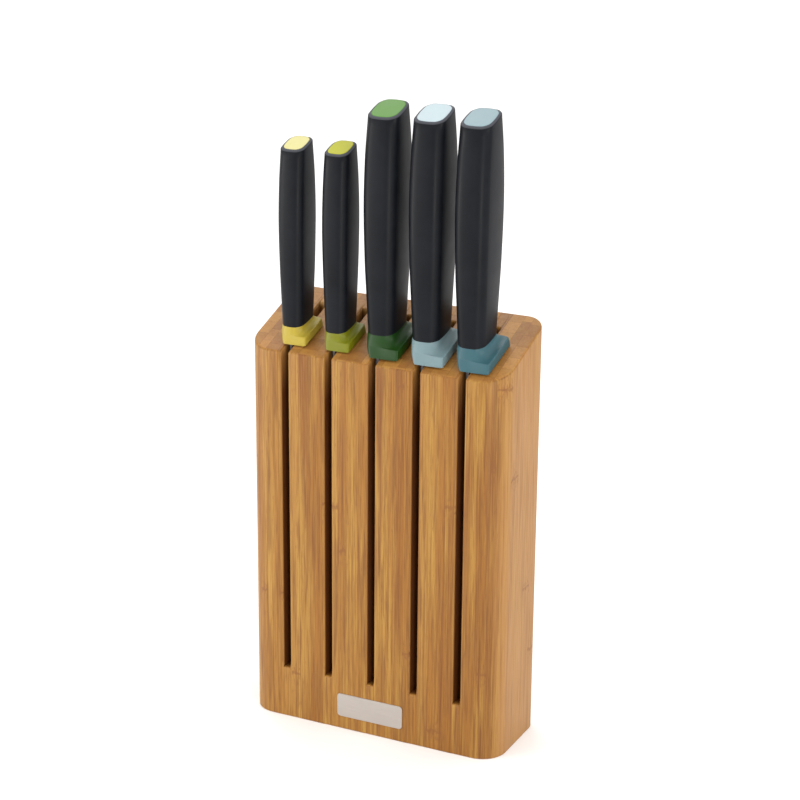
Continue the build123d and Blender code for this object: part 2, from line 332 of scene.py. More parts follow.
def make_bamboo(name, shift):
    """Laminated bamboo: strips of different tan, long fibres, nodes and end grain, with painted
    light on the narrow sides and painted shade in the slots.
    """
    made, tree, shader, plain = material(name)
    coords = add(tree, "ShaderNodeVectorMath", {"operation": "ADD"},
                 i0=plain, i1=(0.0, 0.0, shift)).outputs[0]
    numbers, glue, z = lamella_cells(tree, plain)
    tone = ramp(tree, numbers[0], [(0.0, TAN_DARK), (1.0, TAN_LIGHT), (0.45, TAN_MID)])
    tone = tint(tree, attribute(tree, "depth_of_tone"), tone, TAN_DARK)
    # The narrow sides: a pinker tan of their own, made paler as painted light.
    side_pink_and_light = calc(tree, "MULTIPLY", faces_along(tree, 0, 0.55, 0.95), SIDE_PINK_AND_LIGHT_SHARE)
    tone = tint(tree, side_pink_and_light, tone, TAN_PINK_AND_LIT)
    end = ramp(tree, numbers[2], [(0.0, END_DARK), (1.0, END_LIGHT)])
    end_face = faces_along(tree, 2, 0.55, 0.85)
    tone = blend(tree, "MIX", end_face, tone, end)
    strength = calc(tree, "MULTIPLY", remap(tree, end_face, 0.0, 1.0, 1.0, END_GRAIN_SHARE),
                    remap(tree, side_pink_and_light, 0.0, SIDE_PINK_AND_LIGHT_SHARE, 1.0, SIDE_GRAIN_SHARE))
    tone, masks = fibre_tone(tree, coords, tone, strength)
    ring, speckle = bamboo_nodes(tree, coords, numbers, z)
    for spot in (speckle, ring):
        tone = tint(tree, calc(tree, "MULTIPLY", spot, NODE_SHARE), tone, KNOT_BROWN)
    seen = calc(tree, "SUBTRACT", 1.0, side_pink_and_light)
    line = calc(tree, "MULTIPLY", remap(tree, glue, *GLUE_LINE, GLUE_SHARE, 0.0), seen)
    tone = tint(tree, line, tone, RED_STREAK)
    # Painted shade on the slots' walls, floors and end walls.
    tone = tint(tree, attribute(tree, "slot_shade"), tone, SLOT_SHADE_BROWN)
    tree.links.new(tone, shader.inputs["Base Color"])
    shader.inputs["Specular IOR Level"].default_value = 0.35
    tree.links.new(remap(tree, masks["streak"], 0.3, 0.7, 0.42, 0.56), shader.inputs["Roughness"])
    height = calc(tree, "SUBTRACT", calc(tree, "MULTIPLY", masks["fibre"], 0.5),
                  calc(tree, "MULTIPLY", line, 1.2))
    bump(tree, shader, height, 0.35, 0.08 * MM)
    return made


def make_plastic(name, colour, rough, level):
    """Satin moulded plastic, with faint uneven gloss."""
    made, tree, shader, coords = material(name)
    cloud = noise(tree, coords, 90.0, 3.0)
    deep = tuple(c * 0.90 for c in colour)
    tone = ramp(tree, cloud, [(0.3, deep), (0.75, colour)])
    tree.links.new(tone, shader.inputs["Base Color"])
    shader.inputs["Specular IOR Level"].default_value = level
    tree.links.new(remap(tree, cloud, 0.3, 0.7, rough - 0.04, rough + 0.05),
                   shader.inputs["Roughness"])
    bump(tree, shader, noise(tree, coords, 3800.0, 2.0), 0.10, 0.03 * MM)
    return made


# Painted highlight on the grips' bevelled rim, which faces up into the light.
RIM_HIGHLIGHT_GREY = (0.078, 0.082, 0.096)
RUBBER_DARK = (0.0046, 0.0053, 0.0072)
RUBBER_LIGHT = (0.0074, 0.0083, 0.0112)
RUBBER_IOR = 1.21             # a soft coat reflects less than hard plastic
# Painted shade for the blade's narrow faces.
SPINE_SHADE_GREY = (0.10, 0.10, 0.11)


def make_rubber(name):
    """Soft-touch charcoal shell of the grips, with a painted highlight on the bevelled rim."""
    made, tree, shader, coords = material(name)
    shader.inputs["IOR"].default_value = RUBBER_IOR
    cloud = noise(tree, coords, 55.0, 4.0, 0.6)
    tone = ramp(tree, cloud, [(0.3, RUBBER_DARK), (0.72, RUBBER_LIGHT)])
    # Painted highlight on the rim's upward bevel.
    tone = tint(tree, attribute(tree, "rim_highlight"), tone, RIM_HIGHLIGHT_GREY)
    tree.links.new(tone, shader.inputs["Base Color"])
    tree.links.new(remap(tree, cloud, 0.3, 0.72, 0.36, 0.44), shader.inputs["Roughness"])
    bump(tree, shader, noise(tree, coords, 4200.0, 3.0, 0.6), 0.22, 0.05 * MM)
    return made


def make_steel(name, colour, lines, rough, spine=0.0):
    """Brushed metal; lines are the stretch of the brushing along each axis, and
    spine is how much painted shade darkens the narrow faces, which it also makes rougher."""
    made, tree, shader, coords = material(name)
    brushed = noise(tree, stretched(tree, coords, *lines), 1.0, 4.0, 0.65)
    deep = tuple(c * 0.82 for c in colour)
    tone = ramp(tree, brushed, [(0.3, deep), (0.7, colour)])
    shader.inputs["Metallic"].default_value = 1.0
    # Painted shade on the faces along Y, so the spine looks dark in the shaded gap under the
    # collar.
    spine_shade_and_dull = calc(tree, "MULTIPLY", faces_along(tree, 1, 0.5, 0.9), spine)
    tone = tint(tree, spine_shade_and_dull, tone, SPINE_SHADE_GREY)
    tree.links.new(tone, shader.inputs["Base Color"])
    gloss = remap(tree, brushed, 0.3, 0.7, rough - 0.05, rough + 0.08)
    tree.links.new(calc(tree, "ADD", gloss, calc(tree, "MULTIPLY", spine_shade_and_dull, 0.25)),
                   shader.inputs["Roughness"])
    bump(tree, shader, brushed, 0.15, 0.03 * MM)
    return made


# Collar and cap of each knife. The two share a material slot, but the caps are
# painted paler, as painted light and sheen on their upward faces, so each has a material of its
# own.
KNIFE_COLOURS = {
    "yellow": ((0.3813, 0.2902, 0.03162), (0.627, 0.580, 0.246)),
    "lime": ((0.1518, 0.1582, 0.00276), (0.409, 0.409, 0.012)),
    "green": ((0.0068, 0.0391, 0.0017), (0.090, 0.234, 0.038)),
    "pale_blue": ((0.1512, 0.225, 0.2412), (0.446, 0.544, 0.581)),
    "teal": ((0.03312, 0.0966, 0.1159), (0.250, 0.349, 0.382)),
}
COLLAR_FINISH = (0.40, 0.27)  # roughness and specular level
CAP_FINISH = (0.36, 0.12)
CORE_FINISH = (0.45, 0.27)


def make_materials():
    mats = {
        "bamboo": make_bamboo("bamboo", 0.0),
        "slot_bamboo": make_bamboo("slot_bamboo", SLOT_GRAIN_SHIFT),
        "plate_metal": make_steel("plate_metal", (0.53, 0.49, 0.455), (60, 60, 5200), 0.42),
        "blade_steel": make_steel("blade_steel", (0.27, 0.275, 0.29), (90, 90, 3800), 0.38, 0.6),
        "grip_rubber": make_rubber("grip_rubber"),
        "core_plastic": make_plastic("core_plastic", (0.05, 0.05, 0.055), *CORE_FINISH),
    }
    for name, (collar, cap) in KNIFE_COLOURS.items():
        mats[f"collar_{name}"] = make_plastic(f"collar_{name}", collar, *COLLAR_FINISH)
        # The cap's paler colour is painted light and sheen from above.
        mats[f"cap_{name}"] = make_plastic(f"cap_{name}", cap, *CAP_FINISH)
    return mats


# ---- mesh helpers ----

MERGE_DISTANCE = 2e-6         # metres; closer points are one point
SLIVER_SIZE = 1e-6            # metres; shorter edges are dissolved


def mesh_from_rings(name, rings, loop=False):
    """A closed tube of quads through rings of equal length. With loop, the last
    ring joins the first; otherwise each end is closed with a face."""
    bm = bmesh.new()
    rows = [[bm.verts.new(p) for p in ring] for ring in rings]
    pairs = list(zip(rows, rows[1:])) + ([(rows[-1], rows[0])] if loop else [])
    count = len(rings[0])
    for low, high in pairs:
        for i in range(count):
            j = (i + 1) % count
            bm.faces.new((low[i], low[j], high[j], high[i]))
    if not loop:
        bm.faces.new(list(reversed(rows[0])))
        bm.faces.new(rows[-1])
    bmesh.ops.remove_doubles(bm, verts=bm.verts, dist=MERGE_DISTANCE)
    bmesh.ops.dissolve_degenerate(bm, edges=bm.edges, dist=SLIVER_SIZE)
    bmesh.ops.recalc_face_normals(bm, faces=bm.faces)
    mesh = bpy.data.meshes.new(name)
    bm.to_mesh(mesh)
    bm.free()
    piece = bpy.data.objects.new(name, mesh)
    bpy.context.scene.collection.objects.link(piece)
    return piece


def mark(piece, name, value_at):
    """Stores a number on every point, for the materials to read."""
    layer = piece.data.attributes.new(name, "FLOAT", "POINT")
    for vertex, cell in zip(piece.data.vertices, layer.data):
        cell.value = value_at(*vertex.co)


def dress(node, made):
    """Gives a CAD piece that is shown as it is its material."""
    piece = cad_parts[node]
    for index in range(len(piece.material_slots)):
        piece.material_slots[index].material = made


def finish_piece(piece, made, slot, body, *nodes, angle=32.0):
    """Material, shading and place in the frame."""
    piece.data.materials.append(made)
    piece.data.shade_smooth()
    piece.data.set_sharp_from_angle(angle=math.radians(angle))
    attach(piece, body)
    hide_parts(*nodes)


ARC_STEPS = 8                 # steps round each corner of an outline
SIDE_STEPS = 6                # steps along each side


def outline(left, right, front, back, radius, crown=0.0):
    """Points around a rectangle with round corners, from the back right corner,
    counter-clockwise. A crown swells each side by that much; the outline with its
    crown fills the given box."""
    left, right, front, back = left + crown, right - crown, front + crown, back - crown
    radius = min(radius, (right - left) / 2 * 0.98, (back - front) / 2 * 0.98)
    corners = [(right - radius, back - radius, 0), (left + radius, back - radius, 90),
               (left + radius, front + radius, 180), (right - radius, front + radius, 270)]

    def at(corner, turn):
        angle = math.radians(corner[2] + turn)
        return corner[0] + radius * math.cos(angle), corner[1] + radius * math.sin(angle)

    found = []
    for index, corner in enumerate(corners):
        found += [at(corner, 90 * s / ARC_STEPS) for s in range(ARC_STEPS + 1)]
        (ax, ay), (bx, by) = found[-1], at(corners[(index + 1) % 4], 0)
        found += [(mix(ax, bx, s / SIDE_STEPS), mix(ay, by, s / SIDE_STEPS))
                  for s in range(1, SIDE_STEPS)]
    if crown:
        found = [crowned(p, left, right, front, back, crown) for p in found]
    return found


def crowned(point, left, right, front, back, crown):
    """Moves a point of an outline outwards, most at the middle of each side."""
    cx, cy = (left + right) / 2, (front + back) / 2
    u, v = (point[0] - cx) / ((right - left) / 2), (point[1] - cy) / ((back - front) / 2)
    return (point[0] + crown * u * (1 - v * v), point[1] + crown * v * (1 - u * u))


# ---- block ----

CORNER_STEPS = 10
WALL_STOPS = (1.6, 1.9, 2.2, 2.6, 3.2, 8.0, 20.0)      # millimetres behind the front
BOARD_HEIGHTS = (80 * MM, 140 * MM, 200 * MM)          # extra rings up a board
BACK_EDGE_BLEND = (0.5 * MM, 0.1 * MM)                 # ahead of the back face


def board_outline(low_x, high_x, low_y, high_y, radii, widest):
    """Points round a board, each with its outward direction and the direction in
    which the top edge rounds: front left, front right, back right, back left. The
    sides carry extra points where the shading changes, clear of the widest that the
    corners get. Glued back corners round straight back."""
    ahead = [low_y + s * MM for s in WALL_STOPS]
    ahead += [SLOT_END_Y - GLUE_BLEND, SLOT_END_Y + GLUE_BLEND]
    points = []
    corners = [(low_x, low_y, 1, 1, 180), (high_x, low_y, -1, 1, 270),
               (high_x, high_y, -1, -1, 0), (low_x, high_y, 1, -1, 90)]
    for (x, y, sx, sy, start), radius in zip(corners, radii):
        for s in range(CORNER_STEPS + 1):
            angle = math.radians(start + 90 * s / CORNER_STEPS)
            out = (math.cos(angle), math.sin(angle))
            lean = (0.0, 1.0) if sy < 0 and radius < MM else out
            points.append((x + sx * radius + radius * out[0],
                           y + sy * radius + radius * out[1], out, lean))
        if start == 270:
            points += [(high_x, yy, (1, 0), (1, 0)) for yy in ahead
                       if low_y + widest[1] < yy < high_y - widest[2]]
        if start == 90:
            points += [(low_x, yy, (-1, 0), (-1, 0)) for yy in reversed(ahead)
                       if low_y + widest[0] < yy < high_y - widest[3]]
    return points


def board_rings(low_x, high_x, radii_low, radii_high, free_left, free_right):
    """Rings up a full-depth board: sharp vertical edges below the slot floor,
    rounded ones beside the slots above it, and a rounded top."""

    def straight(radii, height, inset=0.0):
        points = board_outline(low_x, high_x, FRONT_Y, BACK_Y, radii, radii_high)
        return [(x - out[0] * inset, y - out[1] * inset, height) for x, y, out, _ in points]

    rings = [straight(radii_low, 0.0, FOOT_EDGE), straight(radii_low, FOOT_EDGE)]
    for step, angle in enumerate(quarter()):
        radii = [mix(a, b, math.sin(angle)) for a, b in zip(radii_low, radii_high)]
        rings.append(straight(radii, SLOT_FLOOR + step / QUARTER_STEPS * MOUTH_RUN_OUT))
    rings += [straight(radii_high, height) for height in BOARD_HEIGHTS]
    points = board_outline(low_x, high_x, FRONT_Y, BACK_Y, radii_high, radii_high)
    for angle in quarter():
        ring = []
        for x, y, _, lean in points:
            radius = TOP_RADIUS * top_rounding(x, y, low_x, high_x, free_left, free_right)
            inset = radius * (1 - math.cos(angle))
            px, py = x - lean[0] * inset, y - lean[1] * inset
            ring.append((px, py, top_z(py) - radius * (1 - math.sin(angle))))
        rings.append(ring)
    return rings


def top_rounding(x, y, low_x, high_x, free_left, free_right):
    """1 where the top edge is free and rounded, 0 where a spacer is glued on."""
    glued = smooth(SLOT_END_Y - GLUE_BLEND, SLOT_END_Y + GLUE_BLEND, y)
    back_edge = smooth(BACK_Y - BACK_EDGE_BLEND[0], BACK_Y - BACK_EDGE_BLEND[1], y)
    if x < low_x + MM and not free_left or x > high_x - MM and not free_right:
        return max(1 - glued, back_edge)
    return 1.0


BOARD_TONES = (0.20, 0.30, 0.15, 0.00, 0.35, 0.80)     # how dark each board is
WALL_SKIN = 0.2 * MM          # points this close to a side are on its wall
SLOT_SHADE_END = 0.3 * MM           # the painted slot shade ends this far behind the slot's end
SLOT_SHADE_TOP = (3.0 * MM, 0.8 * MM)         # and fades out this far below the top
FACE_SKIN = 0.1 * MM          # points of a spacer this close to a face are on it
LIP_RUN = 6.0 * MM            # from a spacer's edge to the next point past its lip
FLOOR_SHADE_FULL = 5.0 * MM     # the painted shade on a slot's floor is full this far behind the front
END_WALL_SHADE_FADE = 3.0 * MM     # painted shade darkens its end wall from this far below the top, over as much


def mark_slot_shade(piece, low_x, high_x, free_left, free_right):
    """Marks painted shade on the walls of the slots, darker further behind the front; not the
    glued faces.
    """

    def slot_shade(x, y, z):
        left = x < low_x + WALL_SKIN and not free_left
        right = x > high_x - WALL_SKIN and not free_right
        depth = smooth(FRONT_Y + SLOT_SHADE_START, FRONT_Y + SLOT_SHADE_FULL, y)
        depth *= 1 - smooth(SLOT_END_Y, SLOT_END_Y + SLOT_SHADE_END, y)
        top = 1 - smooth(top_z(y) - SLOT_SHADE_TOP[0], top_z(y) - SLOT_SHADE_TOP[1], z)
        return depth * top if left or right else 0.0

    mark(piece, "slot_shade", slot_shade)


def make_stave(index, count, mats):
    node = f"stave_{index + 1}"
    low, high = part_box(node)
    first, last = index == 0, index == count - 1
    free = (FRONT_CORNER_RADIUS, BACK_CORNER_RADIUS)
    below = [free[0] if first else JOINT_GROOVE, free[0] if last else JOINT_GROOVE,
             free[1] if last else JOINT_GROOVE, free[1] if first else JOINT_GROOVE]
    above = [free[0] if first else MOUTH_RADIUS, free[0] if last else MOUTH_RADIUS,
             free[1] if last else JOINT_GROOVE, free[1] if first else JOINT_GROOVE]
    rings = board_rings(low.x, high.x, below, above, first, last)
    piece = mesh_from_rings(f"board_{index + 1}", rings)
    mark_slot_shade(piece, low.x, high.x, first, last)
    mark(piece, "depth_of_tone", lambda x, y, z: BOARD_TONES[index])
    finish_piece(piece, mats["bamboo"], "bamboo", "block", node)


def spacer(name, low_x, high_x, profile):
    """A piece of one side profile, given as (y, z) points, across a slot's width."""
    return mesh_from_rings(name, [[(x, y, z) for y, z in profile] for x in (low_x, high_x)])


def make_slot_base(index, mats):
    """The spacer under a slot, with the rounded lip of the slot's lower end."""
    node = f"slot_base_{index + 1}"
    low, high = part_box(node)
    glued = SLOT_END_Y + SLOT_SHADE_END
    profile = [(low.y + FOOT_EDGE, 0.0), (low.y, FOOT_EDGE)]
    profile += [(low.y + TOP_RADIUS * (1 - math.cos(a)), high.z - TOP_RADIUS * (1 - math.sin(a)))
                for a in quarter()]
    profile += [(low.y + LIP_RUN, high.z), (SLOT_END_Y, high.z), (glued, high.z),
                (high.y, high.z), (high.y, FOOT_EDGE), (high.y - FOOT_EDGE, 0.0)]
    piece = spacer(f"foot_strip_{index + 1}", low.x, high.x, profile)

    # Painted shade on the slot's floor, darker further behind the front.
    def slot_shade(_, y, z):
        inside = z > high.z - FACE_SKIN and y < glued - FACE_SKIN
        return smooth(low.y + TOP_RADIUS, low.y + FLOOR_SHADE_FULL, y) if inside else 0.0

    mark(piece, "slot_shade", slot_shade)
    finish_piece(piece, mats["slot_bamboo"], "slot_bamboo", "block", node)


def make_slot_back(index, mats):
    """The spacer behind a slot, rounded at the slot's end and at the back."""
    node = f"slot_back_{index + 1}"
    low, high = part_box(node)
    insets = [(TOP_RADIUS * (1 - math.cos(a)), TOP_RADIUS * (1 - math.sin(a))) for a in quarter()]
    profile = [(low.y, low.z), (low.y, top_z(low.y) - LIP_RUN)]
    profile += [(low.y + inset, top_z(low.y + inset) - drop) for inset, drop in insets]
    profile += [(high.y - inset, top_z(high.y - inset) - drop) for inset, drop in reversed(insets)]
    profile.append((high.y, low.z))
    piece = spacer(f"back_strip_{index + 1}", low.x, high.x, profile)

    # Painted shade on the slot's end wall, darker further down.
    def slot_shade(_, y, z):
        below = top_z(low.y) - END_WALL_SHADE_FADE - z
        return smooth(0.0, END_WALL_SHADE_FADE, below) if y < low.y + FACE_SKIN else 0.0

    mark(piece, "slot_shade", slot_shade)
    finish_piece(piece, mats["slot_bamboo"], "slot_bamboo", "block", node)


def make_block(mats):
    boards = len(BOARD_TONES)
    for index in range(boards):
        make_stave(index, boards, mats)
    for index in range(boards - 1):
        make_slot_base(index, mats)
        make_slot_back(index, mats)
    dress("name_plate", mats["plate_metal"])


# ---- knives ----

def tilt(points, x, size, z, slope):
    """Puts an outline on a plane that rises towards the back."""
    mid = size["mid_y"] * MM
    return [(x + px, mid + py, z + slope * py) for px, py in points]


def eased_station(size, share):
    """Width and depth of a grip at a share of its height, on a smooth curve."""
    rows = size["stations"]
    index = max(i for i in range(len(rows) - 1) if rows[i][0] <= share)
    before, low = rows[max(index - 1, 0)], rows[index]
    high, after = rows[index + 1], rows[min(index + 2, len(rows) - 1)]
    span = high[0] - low[0]
    t = (share - low[0]) / span
    found = []
    for column in (1, 2):
        slope_low = (high[column] - before[column]) / max(high[0] - before[0], 1e-6) * span
        slope_high = (after[column] - low[column]) / max(after[0] - low[0], 1e-6) * span
        h00, h10 = 2 * t ** 3 - 3 * t ** 2 + 1, t ** 3 - 2 * t ** 2 + t
        h01, h11 = -2 * t ** 3 + 3 * t ** 2, t ** 3 - t ** 2
        found.append(h00 * low[column] + h10 * slope_low + h01 * high[column] + h11 * slope_high)
    return found[0] * MM, found[1] * MM


def centred(width, depth, radius, crown=0.0):
    """An outline around the origin."""
    return outline(-width / 2, width / 2, -depth / 2, depth / 2, radius, crown=crown)


GRIP_STEPS = 36
RIM_EDGE = 0.22               # share of the chamfer that its lower edge rounds over
RIM_HIGHLIGHT_FADE = (0.1, 0.4)         # shares of the chamfer over which the painted highlight fades in
BORE_RADIUS = 1.5 * MM
CAP_DOME = (0.85, 0.65, 0.45, 0.25, 0.08)    # rings of the domed cap, as shares


def make_grip(name, x, size, mats):
    """Soft shell: outer form, chamfered rim, seat for the cap and bore for the core."""
    joint_z, cap_z = size["joint_z"] * MM, size["cap_z"] * MM
    rim_z = cap_z - RIM_RISE
    corner, crown = size["corner"] * MM, size["crown"] * MM
    rings = []
    for step in range(GRIP_STEPS + 1):
        share = step / GRIP_STEPS
        width, depth = eased_station(size, share)
        rings.append(tilt(centred(width, depth, corner, crown), x, size,
                          mix(joint_z, rim_z, share), mix(JOINT_SLOPE, CAP_SLOPE, share)))
    width, depth = eased_station(size, 1.0)
    for share, lift in ((RIM_EDGE * 0.4, RIM_EDGE * 0.75), (RIM_EDGE, RIM_EDGE * 1.2), (1.0, 1.0)):
        inset = RIM_INSET * share
        ring = centred(width - 2 * inset, depth - 2 * inset,
                       corner - inset * CAP_CORNER_SHARE, crown)
        rings.append(tilt(ring, x, size, rim_z + RIM_RISE * lift, CAP_SLOPE))
    rings.append(tilt(ring, x, size, cap_z - CAP_THICKNESS, CAP_SLOPE))
    bore = centred(size["core"][0] * MM, size["core"][1] * MM, BORE_RADIUS)
    rings.append(tilt(bore, x, size, cap_z - CAP_THICKNESS, CAP_SLOPE))
    rings.append(tilt(bore, x, size, joint_z, JOINT_SLOPE))
    piece = mesh_from_rings(f"{name}_handle", rings, loop=True)

    # Painted highlight, paler up the rim's chamfer.
    def rim_highlight(_, y, z):
        level = z - CAP_SLOPE * (y - size["mid_y"] * MM) - rim_z
        return smooth(RIM_HIGHLIGHT_FADE[0] * RIM_RISE, RIM_HIGHLIGHT_FADE[1] * RIM_RISE, level)

    mark(piece, "rim_highlight", rim_highlight)
    finish_piece(piece, mats["grip_rubber"], "grip_rubber", f"{name}_knife", f"{name}_grip")


def make_cap(name, x, size, slot, mats):
    """Coloured insert, very slightly domed, with a rounded edge."""
    cap_z, crown = size["cap_z"] * MM, size["crown"] * MM
    width, depth = eased_station(size, 1.0)
    width, depth = width - 2 * (RIM_INSET + CAP_GAP), depth - 2 * (RIM_INSET + CAP_GAP)
    corner = size["corner"] * MM - RIM_INSET * CAP_CORNER_SHARE
    base = centred(width, depth, corner, crown)
    rings = [tilt(base, x, size, cap_z - CAP_THICKNESS, CAP_SLOPE)]
    for angle in quarter(5):
        inset = CAP_EDGE * (1 - math.cos(angle))
        ring = centred(width - 2 * inset, depth - 2 * inset, corner - inset, crown)
        rise = mix(-CAP_EDGE_LOW, CAP_EDGE_HIGH, math.sin(angle))
        rings.append(tilt(ring, x, size, cap_z + rise, CAP_SLOPE))
    for share in CAP_DOME:
        rise = mix(CAP_PROUD * 0.9, CAP_EDGE_HIGH, share * share)
        ring = centred((width - 2 * CAP_EDGE) * share, (depth - 2 * CAP_EDGE) * share,
                       (corner - CAP_EDGE) * share, crown * share)
        rings.append(tilt(ring, x, size, cap_z + rise, CAP_SLOPE))
    piece = mesh_from_rings(f"{name}_end_cap", rings)
    # The paler cap colour is painted light.
    made = mats[slot.replace("collar", "cap")]
    finish_piece(piece, made, slot, f"{name}_knife", f"{name}_cap")


HOLLOW = 0.74                 # below 1 the sweep is hollower than a quarter of an ellipse
HOLLOW_STEPS = 20
FLANGE_CORNER = 1.1           # millimetres, radius at the flange's outer corners


def under_z(size, y):
    """Height of the underside of a collar."""
    back = size["back"] * MM
    return top_z(back) + COLLAR_LIFT + COLLAR_SLOPE * (y - back)


def collar_profile(size):
    """(share of the height, share of the flange's reach) from the block up: a low
    wall, a small round ridge and a hollow sweep up to the grip."""
    height = size["joint_z"] * MM - under_z(size, size["mid_y"] * MM)
    flange = size["flange"] * MM / height
    ridge = RIDGE_RADIUS / height
    reach = RIDGE_RADIUS / ((size["reach"] - size["stations"][0][1] / 2) * MM)
    found = [(0.0, 1.0 - reach * 0.5), (0.03, 1.0)]
    found += [((flange - ridge) * s, 1.0) for s in (0.35, 0.7, 0.95)]
    for angle in quarter():
        found.append((flange - ridge * (1 - math.sin(angle)), 1.0 - reach * (1 - math.cos(angle))))
    for angle in quarter(HOLLOW_STEPS)[1:]:
        rise, fall = max(math.cos(angle), 0.0) ** HOLLOW, math.sin(angle) ** HOLLOW
        found.append((1 - (1 - flange) * rise, (1 - reach) * (1 - fall)))
    return found


def collar_ring(x, size, share, out):
    """One ring of the collar. The front is flush with the grip on the left, and
    hollow like the right side towards the flange's corner."""
    _, top_width, top_depth = size["stations"][0]
    mid = size["mid_y"]
    low_z, joint_z = under_z(size, mid * MM), size["joint_z"] * MM
    flange = size["flange"] * MM / (joint_z - low_z)
    slope = mix(COLLAR_SLOPE, JOINT_SLOPE, max(share - flange, 0.0) / (1 - flange))
    z = mix(low_z, joint_z, share)
    left = mix(size["left"], -top_width / 2, math.sin(share * math.pi / 2))
    right = mix(top_width / 2, size["reach"], out)
    back = mix(size["back"], mid + top_depth / 2, share)
    plain = mix(size["front"], mid - top_depth / 2, share)
    hollow = mix(mid - top_depth / 2, size["front"], mix(out, 1 - share, 0.25))
    crown = size["crown"] * smooth(0.0, 1.0, share)
    flat = outline(left, right, plain - mid, back - mid, mix(2.0, size["corner"], share),
                   crown=crown)
    carved = outline(left, right, hollow - mid, back - mid,
                     mix(size["corner"], FLANGE_CORNER, out), crown=crown)
    found = []
    for a, b in zip(flat, carved):
        lean = smooth(left + (right - left) * 0.35, right - 1.0, a[0])
        found.append((mix(a[0], b[0], lean) * MM, mix(a[1], b[1], lean) * MM))
    return tilt(found, x, size, z, slope)


def make_collar(name, x, size, slot, thickness, mats):
    rings = [collar_ring(x, size, share, out) for share, out in collar_profile(size)]
    hole = centred(thickness, size["tang"] * MM, 0.2 * MM)
    rings.append(tilt(hole, x, size, size["joint_z"] * MM, JOINT_SLOPE))
    rings.append(tilt(hole, x, size, under_z(size, size["mid_y"] * MM), COLLAR_SLOPE))
    piece = mesh_from_rings(f"{name}_bolster", rings, loop=True)
    finish_piece(piece, mats[slot], slot, f"{name}_knife", f"{name}_collar")


BLADE_STEPS = 260
EDGE_HALF = 0.05 * MM         # half the thickness left at the cutting edge
SPINE_ROUND = 0.25 * MM
SHOULDER_INSET = 1.0 * MM     # the neck's back edge, ahead of the collar's
BELLY_POWER = 2.2             # roundness of the curved end of the edge
TIP_BEND = 2.2                # length of the bend at the tip over its setback
LEAST_WIDTH = 0.2 * MM        # between spine and edge, at the very tip
LEAST_BEVEL = 0.1 * MM
FLAT_SHARE = 0.4              # least share of the width that the bevel leaves flat
NECK_BEVEL = 1.0 * MM
NECK_RISE = 2.0 * MM          # height in which the heel narrows to the neck
NECK_GAP = 0.5 * MM           # but it stays this far under the collar
TANG_STEP = 0.1 * MM          # from the neck up to the foot of the tang


def blade_edge(z, low, high, curve, tip_back, pitch, depth, heel_z):
    """Where the spine and the cutting edge are at a height, in metres."""
    bend_z = low.z + curve
    spine = low.y
    rise = TIP_BEND * tip_back
    if z < low.z + rise:
        spine += tip_back * (1 - (z - low.z) / rise)
    edge = high.y
    if z < bend_z:
        width = high.y - low.y - tip_back
        share = (bend_z - z) / curve
        edge = low.y + tip_back + width * math.sqrt(max(1 - share ** BELLY_POWER, 0.0))
    elif pitch and z < heel_z:
        count = int((heel_z - bend_z) / pitch)
        phase = (z - bend_z) / (heel_z - bend_z) * count % 1.0
        edge -= depth * math.sqrt(max(1 - (2 * phase - 1) ** 2, 0.0))
    return spine, edge


def make_blade(name, x, size, numbers, mats):
    """Flat blade with a ground edge, its tang running up through the collar."""
    curve, tip_back, bevel, pitch, depth = (v * MM for v in numbers)
    low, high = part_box(f"{name}_blade")
    half = (high.x - low.x) / 2
    back = min(high.y, size["back"] * MM)
    shoulder, heel_z = back - SHOULDER_INSET, top_z(back) - HEEL_DROP
    rings = []
    for step in range(BLADE_STEPS + 1):
        z = mix(low.z, heel_z, step / BLADE_STEPS)
        spine, edge = blade_edge(z, low, high, curve, tip_back, pitch, depth, heel_z)
        edge = max(edge, spine + LEAST_WIDTH)
        limit = high.y - bevel if z > low.z + curve else edge - bevel
        start = max(min(limit, edge - LEAST_BEVEL), mix(spine, edge, FLAT_SHARE))
        rings.append(blade_section(x, half, spine, start, edge, z))
    neck = blade_section(x, half, low.y, shoulder - NECK_BEVEL, shoulder, heel_z + NECK_RISE)
    rings.append([(px, py, min(pz, under_z(size, py) - NECK_GAP)) for px, py, pz in neck])
    rings.append([(px, py, under_z(size, py)) for px, py, _ in neck])
    mid, tang, top = size["mid_y"] * MM, size["tang"] * MM / 2, size["joint_z"] * MM + TANG_RISE
    root = blade_section(x, half, mid - tang, mid, mid + tang, top, True)
    rings.append([(px, py, under_z(size, py) + TANG_STEP) for px, py, _ in root])
    rings.append(root)
    piece = mesh_from_rings(f"{name}_steel", rings)
    finish_piece(piece, mats["blade_steel"], "blade_steel", f"{name}_knife", f"{name}_blade",
                 angle=12.0)


def blade_section(x, half, spine, start, edge, z, square=False):
    """Eight points round a blade at one height: spine, ground bevel from start, and
    edge. A square section keeps its full thickness at the edge."""
    tip = half if square else EDGE_HALF
    return [(x - half + SPINE_ROUND, spine, z), (x + half - SPINE_ROUND, spine, z),
            (x + half, spine + SPINE_ROUND, z), (x + half, start, z), (x + tip, edge, z),
            (x - tip, edge, z), (x - half, start, z), (x - half, spine + SPINE_ROUND, z)]


def make_knives(mats):
    for name, (size, slot, *numbers) in KNIVES.items():
        low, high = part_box(f"{name}_blade")
        x = (low.x + high.x) / 2
        make_blade(name, x, size, numbers, mats)
        make_collar(name, x, size, slot, high.x - low.x, mats)
        make_grip(name, x, size, mats)
        make_cap(name, x, size, slot, mats)
        dress(f"{name}_core", mats["core_plastic"])


# ---- stage, light and camera ----

FLOOR_SIZE = 30.0
FLOOR_WARM, FLOOR_PALE = (0.93, 0.925, 0.92), (0.95, 0.945, 0.94)
SKY_SIDE, SKY_TOP = (0.87, 0.87, 0.88), (1.0, 0.995, 0.985)
SKY_STRENGTH = 1.17

